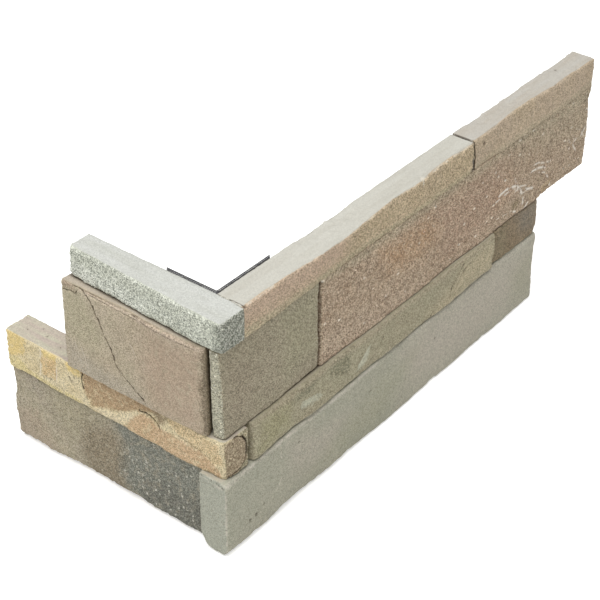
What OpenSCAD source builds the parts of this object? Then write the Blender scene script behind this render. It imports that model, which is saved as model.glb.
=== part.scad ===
// Corner piece of natural stone cladding: four rows of riven sandstone on two arms.
// Row by row, the stones of one arm run on past the end of the other arm's stones,
// so that the rows are bonded at the outer corner. A mesh angle ties the arms together behind it.
// The origin is the arris of the wall that the piece goes round, at its base: the sawn backs lie
// in the planes X = 0 and Y = 0, the long arm runs along +X and the short arm along +Y.
// All sizes are in millimetres.

/* [Rows] */
// Height of the top row
row1_h = 18.5; // [12:0.5:30]
// Height of the second row
row2_h = 56; // [40:0.5:75]
// Height of the third row
row3_h = 25; // [16:0.5:40]
// Height of the bottom row
row4_h = 50.5; // [35:0.5:75]

/* [Arms] */
// Thickness from the nominal face to the sawn back
panel_t = 16.5; // [14:0.5:24]
// Reach of the top two rows along the long arm, from the outer corner
long_upper = 356; // [310:1:450]
// Reach of the bottom two rows along the long arm, from the outer corner
long_lower = 303; // [285:1:420]
// Reach of the top two rows along the short arm, from the outer corner
short_upper = 103; // [80:0.5:180]
// Reach of the bottom two rows along the short arm, from the outer corner
short_lower = 155; // [110:0.5:240]

/* [Joints] */
// Outer corner to the joint in the long arm's top row
row1_joint = 220.5; // [120:0.5:260]
// Outer corner to the joint in the long arm's second row
row2_joint = 78.5; // [50:0.5:140]
// Length of the dark block that ends the long arm's third row
dark_block_len = 51; // [30:0.5:90]
// Width of the top row's stone end that shows at the corner
row1_lap = 15.5; // [8:0.5:24]
// Width of the second row's stone end that shows at the corner
row2_lap = 7.5; // [5:0.5:20]
// Width of the third row's stone end that shows at the corner
row3_lap = 20; // [8:0.5:24]
// Width of the bottom row's stone end that shows at the corner
row4_lap = 15; // [8:0.5:24]
// Clearance in the upright joints that show open
open_joint = 1.2; // [0:0.1:2]
// How far one stone's end steps past or back from the end of the row beside it
end_step = 1; // [0:0.5:3]
// How far the cracked slab's face runs past the end of the grey strip above it
cracked_step = 2; // [0:0.5:5]

/* [How far each face stands out] */
// Grey strip at the corner
grey_near = 4; // [0:0.5:5]
// Grey strip at its far end
grey_far = -2.5; // [-4:0.5:4]
// Cracked slab
cracked_face = 4; // [0:0.5:6]
// Ochre strip at the corner
ochre_near = 2; // [-2:0.5:4]
// Ochre strip at its far end
ochre_far = 0.5; // [-2:0.5:4]
// How much more the grey strip's far end stands out at its foot
grey_tilt = 1.6; // [0:0.1:3]
// Mottled slab
mottled_face = -0.3; // [-5:0.1:2]
// Both coping strips at their foot, where they are flush with the slabs below
coping_foot = 0.4; // [-2:0.1:2]
// How much the top edges of the copings wander about the measured line
coping_wander = 1; // [0:0.1:1.2]
// Corner slab
corner_face = 0.2; // [-2:0.1:3]
// Pink slab
pink_face = 0.4; // [-2:0.1:3]
// Olive strip
olive_face = 2.5; // [-2:0.5:4]
// Dark block
dark_face = -0.6; // [-6:0.1:2]
// Pale slab at the corner
pale_near = 3; // [-2:0.1:4]
// Pale slab at its far end
pale_far = 1.2; // [-2:0.1:4]

/* [Stone ends at the corner] */
// How far the grey strip runs past the outer corner
grey_past = 2; // [0:0.5:4]
// How far the corner slab runs past the outer corner
corner_past = 1; // [0:0.5:4]
// How far the ochre strip runs past the outer corner
ochre_past = 2; // [0:0.5:4]
// How far the pale slab runs past the outer corner
pale_past = 3.5; // [0:0.5:5]
// How much farther the corner slab's end reaches at its top than at its foot
corner_lean = 3; // [0:0.5:4]
// How much farther the ochre strip's far end reaches at its top than at its foot
ochre_lean = 0.6; // [0:0.2:4]
// How much farther the mottled slab's far end reaches at its top than at its foot
mottled_lean = 0.8; // [0:0.2:4]

/* [Riven surface] */
// Height of the riven waves on a face
riven = 1.1; // [0:0.1:1.5]
// Length of the riven waves
riven_wave = 28; // [15:1:60]
// Usual size of a worn arris
arris = 0.9; // [0.6:0.1:2]
// Size of the arris at a joint that is rubbed flush
tight_arris = 0.3; // [0.2:0.1:1]
// Size of the worn arris on a rounded stone
round_arris = 1.9; // [1:0.1:3]
// Size of the dressed bevel along the top of the pale slab
pale_bevel = 3.4; // [1:0.1:4]
// Most that chipping adds to an arris
chip = 1.1; // [0:0.1:1.5]
// Usual length of a chip
chip_wave = 15; // [8:1:40]
// Most that is broken from the lower arris of the pale slab
pale_break = 3.6; // [0:0.1:4]
// Most that is broken from the lower arris of the mottled slab
mottled_break = 6.2; // [0:0.1:7]
// Distance between the sections that shape a stone
section_step = 8; // [5:1:20]
// Distance between the levels that shape a face
level_step = 10; // [6:1:20]

/* [Mesh angle] */
// Thickness of the mesh
mesh_t = 1.2; // [0.8:0.1:2.5]
// Thickness that the upright strands add to the mesh
mesh_ridge = 0.4; // [0.2:0.1:1]
// Reach of the mesh along the long arm, from the inner corner
mesh_long_leg = 41; // [25:1:70]
// Reach of the mesh along the short arm, from the inner corner
mesh_short_leg = 33; // [20:1:60]
// Distance that the mesh stands above the top bed
mesh_above = 0.5; // [0:0.5:3]
// Distance from the base to the mesh's foot
mesh_foot = 3; // [1:1:20]
// Distance between strands
mesh_pitch = 10; // [8:0.5:16]
// Width of a strand
mesh_strand = 2.2; // [1:0.1:4]

/* [Hidden] */

// Levels of the beds between the rows
bed3 = row4_h;
bed2 = bed3 + row3_h;
bed1 = bed2 + row2_h;
top_bed = bed1 + row1_h;
row1 = [bed1, top_bed];
row2 = [bed2, bed1];
row3 = [bed3, bed2];
row4 = [0, bed3];

// Half of an open joint, taken from the stone on each side of it
half_gap = open_joint / 2;
// Joint between the olive strip and the dark block
row3_joint = long_lower - end_step - dark_block_len;
// How much more or less a face stands out at one corner of its far end than at the others
far_skew = 0.7;
// Radius of the rounding down a stone's end, where the stone gives none
end_round = 1;
// Share of an end's rounding that the arrises beside it take on
end_share = 0.7;
// Where an arris has its middle point, as a share of its size
arris_mid = 0.29;
// What is left on a riven block beyond the planes at which it is sawn
spare = 3;
// Length that reaches past any stone, for the saw's planes
beyond = 30;

// Lines along a stone, as [share of the stone's length, amount]: how far the top edges of the
// copings stand out, and what is broken from the foot of the pale slab and of the mottled slab
near_coping_line = [
    [0, 0.1], [0.18, 0.9], [0.39, 3.1], [0.5, 1.6], [0.61, -0.4],
    [0.72, 1.8], [0.84, -1.5], [1, 0]
];
far_coping_line = [[0, -0.6], [0.21, -2.2], [0.46, -2.8], [0.69, -0.6], [1, -1.4]];
pale_foot_line = [
    [0, 0.95], [0.04, 0.72], [0.09, 0.9], [0.14, 1], [0.29, 1], [0.36, 0.53], [0.42, 0.62],
    [0.45, 0.15], [0.55, 0], [0.6, 0.18], [0.69, 0], [0.88, 0], [0.92, 0.36], [0.96, 0.36], [1, 0]
];
mottled_foot_line = [
    [0, 0.52], [0.11, 0.46], [0.15, 0.58], [0.25, 0.77], [0.34, 1], [0.39, 1], [0.44, 0.9],
    [0.54, 0.92], [0.68, 1], [0.74, 1], [0.84, 0.52], [0.89, 0.82], [0.94, 0.85], [1, 0.6]
];

function mix(a, b, t) = a + (b - a) * t;
function smooth(t) = t * t * (3 - 2 * t);
function within(t) = min(max(t, 0), 1);

// Value from -1 to 1 that belongs to one whole number and seed
function hash(i, seed) = rands(-1, 1, 1, seed * 131 + i)[0];

// Smooth noise from -1 to 1 along a line
function noise(t, seed) =
    let (i = floor(t))
    mix(hash(i, seed), hash(i + 1, seed), smooth(t - i));

// How far chipping eats into an arris at s along it
function chipping(s, seed) = chip * pow(abs(noise(s / chip_wave, seed)), 1.5);

// Depth of the riven waves at s along a face and height z
function waves(s, z, seed) =
    riven * (noise((s + z) / riven_wave, seed) + noise((s - 2 * z) / riven_wave, seed + 3)) / 2;

// How far a face falls back at distance t from an end that is rounded to r
function fall_back(t, r) = t >= r ? 0 : r - sqrt(r * r - (r - t) * (r - t));

// Line along a stone that goes straight from a to b
function straight(a, b) = [[0, a], [1, b]];

// A line with every amount multiplied
function scaled(line, factor) = [for (p = line) [p[0], p[1] * factor]];

// Distances along a stone of the sections that shape it
function sections(len, r0, r1) =
    let (count = max(2, ceil((len - r0 - r1) / section_step)))
    concat(
        [0, r0 / 4],
        [for (i = [0:count]) mix(r0, len - r1, i / count)],
        [len - r1 / 4, len]
    );

// Front of one section, as points of [distance behind the face, height] from the top down.
// z holds the two beds; low and high are the sizes of the lower and the upper arris.
function front(z, low, high) =
    let (
        top = z[1] - high,
        foot = z[0] + low,
        count = max(2, ceil((z[1] - z[0]) / level_step))
    )
    concat(
        [[(2 - arris_mid) * high, z[1] + arris_mid * high], [arris_mid * high, z[1] - arris_mid * high]],
        [for (i = [0:count]) [0, mix(top, foot, i / count)]],
        [[arris_mid * low, z[0] + arris_mid * low], [(2 - arris_mid) * low, z[0] - arris_mid * low]]
    );

// A block with a riven face, in the frame of its arm: X along the arm from the outer corner,
// Y the depth behind the nominal face, Z up. Its back and its beds are still to be sawn.
// start and end are [at the face, at the back]; foot_line and top_line tell how far the face
// stands out, lean is how much farther each end reaches at its top, rounds are the radii down its
// ends, and broken_line is what is broken from the lower arris.
module riven_block(start, end, z, foot_line, top_line, seed, lean, rounds, lower, upper, broken_line) {
    len = end[0] - start[0];
    back = panel_t + row3_lap + spare;
    rings = [
        for (t = sections(len, rounds[0], rounds[1]))
        let (
            s = start[0] + t,
            fall = fall_back(t, rounds[0]) + fall_back(len - t, rounds[1]),
            foot_face = fall - lookup(t / len, foot_line),
            top_face = fall - lookup(t / len, top_line),
            low = lower + chipping(s, seed) * within(lower / arris) + end_share * fall
                + lookup(t / len, broken_line),
            high = upper + chipping(s, seed + 1) * within(upper / arris) + end_share * fall,
            profile = front(z, low, high),
            top = profile[0][1],
            foot = profile[len(profile) - 1][1],
            section = concat(
                [[back, top]],
                [
                    for (p = profile)
                    let (face = mix(foot_face, top_face, within((p[1] - z[0]) / (z[1] - z[0]))))
                    [face + p[0] + waves(s, p[1], seed), p[1]]
                ],
                [[back, foot]]
            )
        )
        [
            for (p = section)
            let (
                depth = p[0] / panel_t,
                rise = (p[1] - z[0]) / (z[1] - z[0]) - 0.5,
                first = mix(start[0], start[1], depth) - lean[0] * rise,
                last = mix(end[0], end[1], depth) + lean[1] * rise
            )
            [mix(first, last, t / len), p[0], p[1]]
        ]
    ];
    n = len(rings[0]);
    m = len(rings);
    sides = [
        for (i = [0:m - 2], j = [0:n - 1])
        let (
            a = i * n + j,
            b = i * n + (j + 1) % n
        )
        each [[a, a + n, b], [b, a + n, b + n]]
    ];
    caps = [
        [for (j = [0:n - 1]) j],
        [for (j = [n - 1:-1:0]) (m - 1) * n + j]
    ];
    polyhedron([for (r = rings) each r], concat(sides, caps), convexity = 4);
}

// What the saw leaves of a block: its beds, its back and, on a lapping stone,
// the slant that the other arm's stone butts against
module sawn_part(end, z, lap) {
    slant = (panel_t - lap) / panel_t;
    corner = lap > 0
        ? [[panel_t, panel_t], [-beyond, lap - beyond * slant]]
        : [[-beyond, panel_t]];
    translate([0, 0, z[0]])
        linear_extrude(height = z[1] - z[0])
            polygon(concat(
                [[-beyond, -beyond], [end[0] + beyond, -beyond], [end[0] + beyond, panel_t]],
                corner
            ));
}

// A stone with a riven face, sawn beds and a sawn back
module stone(start, end, z, foot_line, top_line, seed, lean = [0, 0], rounds = [end_round, end_round],
             lower = arris, upper = arris, broken_line = straight(0, 0), lap = 0) {
    intersection() {
        riven_block(start, end, z, foot_line, top_line, seed, lean, rounds, lower, upper, broken_line);
        sawn_part(end, z, lap);
    }
}

// Puts a stone of the long arm in place
module long_arm() {
    translate([-panel_t, -panel_t, 0]) children();
}

// Puts a stone of the short arm in place: the long arm's frame with X and Y swapped
module short_arm() {
    translate([-panel_t, -panel_t, 0]) mirror([1, -1, 0]) children();
}

// Top row of the short arm: speckled grey strip that laps the corner
module short_row1_grey_strip() {
    color("#aeb3a6") short_arm()
        stone([-grey_past, -grey_past], [short_upper, short_upper], row1,
              straight(grey_near, grey_far + grey_tilt), straight(grey_near, grey_far),
              seed = 11, rounds = [2.4, end_round], lower = round_arris, lap = row1_lap);
}

// Second row of the short arm: cracked slab that stands out and butts behind the corner slab
module short_row2_cracked_slab() {
    color("#ab9c86") short_arm()
        stone([row2_lap + open_joint, panel_t], [short_upper + cracked_step, short_upper], row2,
              straight(cracked_face, cracked_face + far_skew), straight(cracked_face, cracked_face),
              seed = 23, rounds = [3.5, end_round], upper = round_arris);
}

// Third row of the short arm: banded ochre strip that laps the corner
module short_row3_ochre_strip() {
    color("#c9ac7a") short_arm()
        stone([-ochre_past, -ochre_past], [short_lower + end_step, short_lower + end_step], row3,
              straight(ochre_near, ochre_far), straight(ochre_near, ochre_far + far_skew),
              seed = 37, lean = [0, ochre_lean], rounds = [4, end_round], lap = row3_lap);
}

// Bottom row of the short arm: mottled slab that butts behind the pale slab
module short_row4_mottled_slab() {
    color("#8f8b78") short_arm()
        stone([row4_lap, panel_t], [short_lower, short_lower], row4,
              straight(mottled_face, mottled_face + far_skew), straight(mottled_face, mottled_face),
              seed = 41, lean = [0, mottled_lean],
              broken_line = scaled(mottled_foot_line, mottled_break));
}

// Top row of the long arm, from the grey strip to the joint
module long_row1_near_coping() {
    joint = row1_joint - half_gap;
    color("#a8967c") long_arm()
        stone([row1_lap, panel_t], [joint, joint], row1, straight(coping_foot, coping_foot),
              scaled(near_coping_line, coping_wander), seed = 53, lower = tight_arris);
}

// Top row of the long arm, from the joint to the end
module long_row1_far_coping() {
    joint = row1_joint + half_gap;
    color("#a5967e") long_arm()
        stone([joint, joint], [long_upper, long_upper], row1, straight(coping_foot, coping_foot),
              scaled(far_coping_line, coping_wander), seed = 67, lower = tight_arris);
}

// Second row of the long arm: slab that laps the corner
module long_row2_corner_slab() {
    joint = row2_joint - half_gap;
    color("#8e8872") long_arm()
        stone([-corner_past, -corner_past], [joint, joint], row2,
              straight(corner_face, corner_face), straight(corner_face, coping_foot),
              seed = 71, lean = [corner_lean, 0], rounds = [1.6, end_round], upper = tight_arris,
              lap = row2_lap);
}

// Second row of the long arm: long pink slab
module long_row2_pink_slab() {
    joint = row2_joint + half_gap;
    color("#9e8a78") long_arm()
        stone([joint, joint], [long_upper, long_upper], row2,
              straight(pink_face, pink_face), straight(coping_foot, coping_foot - far_skew),
              seed = 83, lower = tight_arris, upper = tight_arris);
}

// Third row of the long arm: olive strip that butts behind the ochre strip
module long_row3_olive_strip() {
    color("#979078") long_arm()
        stone([row3_lap, panel_t], [row3_joint, row3_joint], row3,
              straight(olive_face, olive_face), straight(olive_face, olive_face),
              seed = 97, rounds = [2, 2.5], upper = round_arris);
}

// Third row of the long arm: short dark block, set back
module long_row3_dark_block() {
    color("#766a5a") long_arm()
        stone([row3_joint, row3_joint], [long_lower - end_step, long_lower - end_step], row3,
              straight(dark_face, dark_face), straight(dark_face, dark_face),
              seed = 101, rounds = [end_round, 1.6]);
}

// Bottom row of the long arm: pale slab with a bevelled top edge that laps the corner
module long_row4_pale_slab() {
    color("#a09f90") long_arm()
        stone([-pale_past, -pale_past], [long_lower, long_lower], row4,
              straight(pale_near, pale_far), straight(pale_near, pale_far), seed = 113,
              rounds = [1.6, end_round], upper = pale_bevel,
              broken_line = scaled(pale_foot_line, pale_break), lap = row4_lap);
}

// One leg of the mesh along +X, with its wall from Y = 0 to its thickness
module mesh_leg(reach) {
    height = top_bed + mesh_above - mesh_foot;
    columns = floor((reach - mesh_strand) / mesh_pitch);
    rows = floor((height - mesh_strand) / mesh_pitch);
    gap = mesh_pitch - mesh_strand;
    difference() {
        cube([reach, mesh_t, height]);
        for (i = [0:columns - 1], j = [0:rows - 1])
            translate([mesh_strand + i * mesh_pitch, -1, mesh_strand + j * mesh_pitch])
                cube([gap, mesh_t + 2, gap]);
    }
    for (i = [1:columns])
        translate([i * mesh_pitch, mesh_t, 0])
            cube([mesh_strand, mesh_ridge, height]);
}

// Mesh angle bonded to the sawn backs behind the corner
module corner_mesh_angle() {
    color("#55565a") translate([0, 0, mesh_foot]) {
        mesh_leg(mesh_long_leg);
        mirror([1, -1, 0]) mesh_leg(mesh_short_leg);
    }
}

short_row1_grey_strip();
short_row2_cracked_slab();
short_row3_ochre_strip();
short_row4_mottled_slab();
long_row1_near_coping();
long_row1_far_coping();
long_row2_corner_slab();
long_row2_pink_slab();
long_row3_olive_strip();
long_row3_dark_block();
long_row4_pale_slab();
corner_mesh_angle();
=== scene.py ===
# Stone cladding corner piece: riven sandstone strips on two arms, with a mesh angle behind the corner
import math
from collections import namedtuple
from functools import partial

import bpy
import numpy as np
from mathutils import Matrix, Vector, noise


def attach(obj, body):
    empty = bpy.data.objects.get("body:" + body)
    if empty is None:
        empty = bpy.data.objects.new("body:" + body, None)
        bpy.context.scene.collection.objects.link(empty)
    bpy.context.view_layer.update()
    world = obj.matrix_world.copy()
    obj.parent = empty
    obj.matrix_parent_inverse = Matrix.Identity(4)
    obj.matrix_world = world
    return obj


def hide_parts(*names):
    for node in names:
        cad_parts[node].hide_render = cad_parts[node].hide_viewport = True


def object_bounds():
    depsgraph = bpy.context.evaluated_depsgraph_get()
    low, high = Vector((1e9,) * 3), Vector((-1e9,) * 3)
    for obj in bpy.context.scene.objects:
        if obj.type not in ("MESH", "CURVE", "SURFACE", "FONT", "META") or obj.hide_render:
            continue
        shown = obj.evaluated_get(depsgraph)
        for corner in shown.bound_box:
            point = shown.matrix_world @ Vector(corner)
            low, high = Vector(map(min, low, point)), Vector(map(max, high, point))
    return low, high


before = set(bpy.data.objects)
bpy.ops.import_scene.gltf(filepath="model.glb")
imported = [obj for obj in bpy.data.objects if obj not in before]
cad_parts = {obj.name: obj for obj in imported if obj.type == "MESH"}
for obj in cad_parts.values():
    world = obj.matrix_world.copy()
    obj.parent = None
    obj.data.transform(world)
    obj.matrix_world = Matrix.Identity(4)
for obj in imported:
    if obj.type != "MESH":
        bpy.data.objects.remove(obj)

mm = 0.001
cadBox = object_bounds()
panelThickness = 16.5  # mm, from a stone's nominal face to its sawn back
rowBeds = {"row1": (131.5, 150), "row2": (75.5, 131.5), "row3": (50.5, 75.5), "row4": (0, 50.5)}  # mm
print("frame loaded:", len(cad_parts), "nodes")


# Small helpers

def deselectAll():
    bpy.ops.object.select_all(action="DESELECT")


def makeActive(piece):
    deselectAll()
    piece.select_set(True)
    bpy.context.view_layer.objects.active = piece


def applyModifier(piece, kind, **settings):
    makeActive(piece)
    modifier = piece.modifiers.new(kind.title(), kind)
    for key, value in settings.items():
        setattr(modifier, key, value)
    bpy.ops.object.modifier_apply(modifier=modifier.name)


def editAll(operator, **settings):
    # one edit mode operator on the whole of the active mesh
    bpy.ops.object.mode_set(mode="EDIT")
    bpy.ops.mesh.select_all(action="SELECT")
    operator(**settings)
    bpy.ops.object.mode_set(mode="OBJECT")


def placesOf(piece):
    # where the vertices are, in mm
    places = np.empty(len(piece.data.vertices) * 3)
    piece.data.vertices.foreach_get("co", places)
    return places.reshape(-1, 3) / mm


def finishPiece(piece, look, material):
    piece.data.materials.clear()
    piece.data.materials.append(material)
    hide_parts(look["node"])
    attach(piece, "root")
    print(look["name"], "made with", len(piece.data.polygons), "faces")


def hexColour(code):
    channels = [int(code[i:i + 2], 16) / 255 for i in (1, 3, 5)]
    linear = [c / 12.92 if c <= 0.04045 else ((c + 0.055) / 1.055) ** 2.4 for c in channels]
    return (*linear, 1.0)


def smoothStep(low, high, values):
    t = np.clip((values - low) / (high - low), 0, 1)
    return t * t * (3 - 2 * t)


def cloud(points, size, octaves=2, seed=0):
    # noise about 0, most of it between -0.5 and 0.5, with lumps of the given size in mm
    shift = Vector((seed * 17.3, seed * 5.1, seed * 9.7))
    return np.array([noise.fractal(Vector(p) / size + shift, 1.0, 2.0, octaves) for p in points])


def alongPath(points, path):
    # distance in mm of each [along, height] point from a line of such points
    best = np.full(len(points), 1e9)
    for a, b in zip(np.array(path[:-1], float), np.array(path[1:], float)):
        run = b - a
        t = np.clip(((points - a) @ run) / (run @ run), 0, 1)
        best = np.minimum(best, np.linalg.norm(points - (a + t[:, None] * run), axis=1))
    return best


def insideOutline(points, outline, soft):
    # 1 inside a closed outline of [along, height] points and 0 outside, over a soft edge in mm
    corners = np.array(outline, float)
    inside = np.zeros(len(points), bool)
    for a, b in zip(corners, np.roll(corners, -1, axis=0)):
        if a[1] == b[1]:
            continue
        crossing = (a[1] > points[:, 1]) != (b[1] > points[:, 1])
        edge = a[0] + (points[:, 1] - a[1]) * (b[0] - a[0]) / (b[1] - a[1])
        inside ^= crossing & (points[:, 0] < edge)
    away = alongPath(points, [*outline, outline[0]])
    return smoothStep(-soft, soft, np.where(inside, away, -away))


# Stones: the sawn blank of a CAD node is remeshed finely, and its riven face, arrises and marks are carved

carving = {
    "voxel": 0.72,        # mm, size of the blank's facets
    "fineCuts": 2,        # extra cuts of each facet beside a crack or scratch
    "fineBand": 1.6,      # mm each side of a crack that get the cuts
    "arrisRings": 3,      # rings of facets over which wear spreads from an arris
    "mostOutward": 0.35,  # mm that relief may stand out from the CAD face
    "sawMarks": 0.06,     # mm of relief on beds and backs
    "flushBand": 0.6,     # mm from a flush bed over which the face runs on to it
    "flushOut": 0.2,      # mm that it then stands out
    "jointBand": 1.5,     # mm from a joint's end face over which its arris is hardly worn
    "jointWear": 0.3,     # share of the wear that is left there
    "freshDepth": 10,     # mm behind the face up to which chips show fresh stone
    "pitDepth": 0.8,      # mm
    "flakeRag": 1.2, "crackRag": 0.5, "scratchRag": 0.4, "stainRag": 1.6,  # mm that a drawn edge wanders
}

# what a stone has unless its own dictionary says otherwise
anyStone = {
    "wear": 0.5, "sideWear": 0,  # mm off an arris, and the share of its pale colour that sides lack, a painted shade that keeps the pale on upward arrises
    "covered": {}, "jointShade": 0.8,  # depths in mm behind which a neighbour covers a bed, and the strength of the painted shade there
    "flush": [], "jointEnds": [],  # heights of beds that the face runs on to, and places of joints in its row
    "breaks": [],  # for each broken corner a point of its plane and the way that it faces
    "chips": [],  # along, depth, height, radius, how deep
    "pits": [],  # along, height, radius, with the depth between them where one isn't in the face
    "cracks": [], "flakes": [], "stains": [], "scratches": [], "flecks": [],
    # "ground" is a stone's colour with those of its blotches and patches, and "sawn" has that of streaks
    "patchShare": 0.5, "darkShare": 0.3, "lightShare": 0.3, "scratch": "#e4dccf", "dirt": "#43382b",
    "grainWidth": 0.5, "cluster": 0.3, "sawnGrain": 0.3, "endGrain": 1,
    "domeHeight": 0.4, "roughSurface": 0.86, "ior": 1.5, "specular": 0.3,
}


# marks on a side of a stone, with paths and outlines of [along, height] points; sizes are in mm
# a crack's last share paints brown dirt and painted shade into its groove
crackAt = namedtuple("crackAt", "width deep path side dirt", defaults=("face", 1))
flakeAt = namedtuple("flakeAt", "deep soft outline")
stainAt = namedtuple("stainAt", "name colour share soft outlines side grain", defaults=("face", 1))
# pale lines: real scratches, and lines of painted highlight along arrises
scratchAt = namedtuple("scratchAt", "width path strength side whole coarse",
                       defaults=(0.8, "face", False, False))
fleckOf = namedtuple("fleckOf", "colour spacing radius present share within streak",
                     defaults=(None, (1, 1, 1)))


def blankOf(stone):
    # an own copy of the node's mesh, its loose triangles joined and then turned to small even facets
    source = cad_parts[stone["node"]]
    blank = source.copy()
    blank.data = source.data.copy()
    blank.name = stone["name"]
    blank.data.name = stone["name"]
    for key in list(blank.keys()):
        del blank[key]
    bpy.context.scene.collection.objects.link(blank)
    makeActive(blank)
    editAll(bpy.ops.mesh.remove_doubles, threshold=0.002 * mm)
    applyModifier(blank, "REMESH", mode="VOXEL", voxel_size=carving["voxel"] * mm, use_smooth_shade=True)
    return blank


def armCoordinates(piece, stone):
    # places and normals in mm as [along the arm from the outer corner, depth behind the face, height]
    normals = np.empty(len(piece.data.vertices) * 3)
    piece.data.vertex_normals.foreach_get("vector", normals)
    places = placesOf(piece) + [panelThickness, panelThickness, 0]
    normals = normals.reshape(-1, 3)
    if stone["arm"] == "short":
        places = places[:, [1, 0, 2]]
        normals = normals[:, [1, 0, 2]]
    return places, normals


def setPlaces(piece, stone, places):
    # back to the piece's own coordinates, and never past the box of the CAD model
    if stone["arm"] == "short":
        places = places[:, [1, 0, 2]]
    places = (places - [panelThickness, panelThickness, 0]) * mm
    places = np.clip(places, cadBox[0], cadBox[1])
    piece.data.vertices.foreach_set("co", places.ravel())
    piece.data.update()


viewOf = {"face": [0, 2], "end": [1, 2], "top": [0, 1]}  # the coordinates in which a side's marks are drawn


def facing(side, normals):
    # 1 where a facet belongs to the given side of a stone
    toward = {"face": -normals[:, 1], "end": -normals[:, 0], "top": normals[:, 2]}[side]
    return smoothStep(0.3, 0.6, toward)


def fineFacets(piece, stone):
    # smaller facets beside each crack and scratch, so that a thin line stays sharp
    lines = stone["cracks"] + [scratch for scratch in stone["scratches"] if not scratch.coarse]
    if not lines:
        return
    places, normals = armCoordinates(piece, stone)
    near = np.zeros(len(places), bool)
    for line in lines:
        away = alongPath(places[:, viewOf[line.side]], line.path)
        near |= (away < carving["fineBand"]) & (facing(line.side, normals) > 0)
    makeActive(piece)
    bpy.ops.object.mode_set(mode="EDIT")
    bpy.ops.mesh.select_mode(type="VERT")
    bpy.ops.mesh.select_all(action="DESELECT")
    bpy.ops.object.mode_set(mode="OBJECT")
    piece.data.vertices.foreach_set("select", near)
    bpy.ops.object.mode_set(mode="EDIT")
    bpy.ops.mesh.select_mode(type="EDGE")
    bpy.ops.mesh.subdivide(number_cuts=carving["fineCuts"])
    bpy.ops.object.mode_set(mode="OBJECT")


def arrisOf(piece, normals):
    # 1 on an arris and 0 on flat stone: the normals are averaged over some rings of neighbours
    count = len(normals)
    ends = np.empty(len(piece.data.edges) * 2, np.int32)
    piece.data.edges.foreach_get("vertices", ends)
    ends = ends.reshape(-1, 2)
    first = np.concatenate([ends[:, 0], ends[:, 1]])
    second = np.concatenate([ends[:, 1], ends[:, 0]])
    shared = 1 + np.bincount(first, minlength=count)
    average = normals
    for ring in range(carving["arrisRings"]):
        sums = [np.bincount(first, average[second, axis], count) for axis in range(3)]
        average = (average + np.stack(sums, axis=1)) / shared[:, None]
    return smoothStep(0.03, 0.3, 1 - np.abs(average).max(axis=1))


def addAttribute(piece, name, values):
    attribute = piece.data.attributes.new(name, "FLOAT", "POINT")
    attribute.data.foreach_set("value", np.clip(values, 0, 2).astype(np.float32))


def faceDepthAt(places, normals, along, height):
    # depth of the stone's face at a place on it
    onFace = np.flatnonzero(normals[:, 1] < -0.6)
    away = np.abs(places[onFace, 0] - along) + np.abs(places[onFace, 2] - height)
    return places[onFace[np.argmin(away)], 1]


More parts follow.
